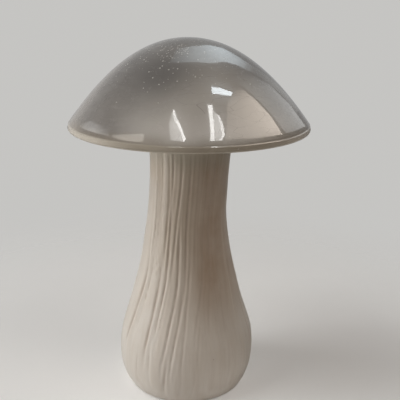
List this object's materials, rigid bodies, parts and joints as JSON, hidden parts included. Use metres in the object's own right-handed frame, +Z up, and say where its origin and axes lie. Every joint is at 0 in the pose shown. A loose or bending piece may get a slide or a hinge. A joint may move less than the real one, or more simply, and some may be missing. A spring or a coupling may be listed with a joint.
{
  "type": "ceramic mushroom ornament",
  "caption": "Free-standing glazed ceramic mushroom with a domed cap that lifts off and turns on a hollow ridged stem.",
  "frame": {"origin": "on the stem's axis, at the surface the mushroom stands on", "axes": "+Z up along the stem's axis to the crown of the cap; -Y towards the side seen in the picture, +X to its right"},
  "size_m": [0.168, 0.168, 0.255],
  "materials": {
    "stem_glaze": "gloss cream glaze over a carved bark relief",
    "cap_glaze": "high-gloss grey glaze, fine crazing and pale specks",
    "soft_ring": "matt translucent white silicone",
    "felt": "brown pressed felt"
  },
  "bodies": {
    "stem_body": {"stem": "stem_glaze", "foot_pads": "felt"},
    "ring_body": {"cushion_ring": "soft_ring"},
    "cap_body": {"cap": "cap_glaze"}
  },
  "joints": [
    {"name": "cap_turn", "type": "hinge", "parent": "stem_body", "child": "ring_body", "pos_m": [0, 0, 0.198], "axis": [0, 0, 1], "continuous": true},
    {"name": "cap_lift", "type": "slide", "parent": "ring_body", "child": "cap_body", "axis": [0, 0, 1], "range_m": [0, 0.08]}
  ]
}
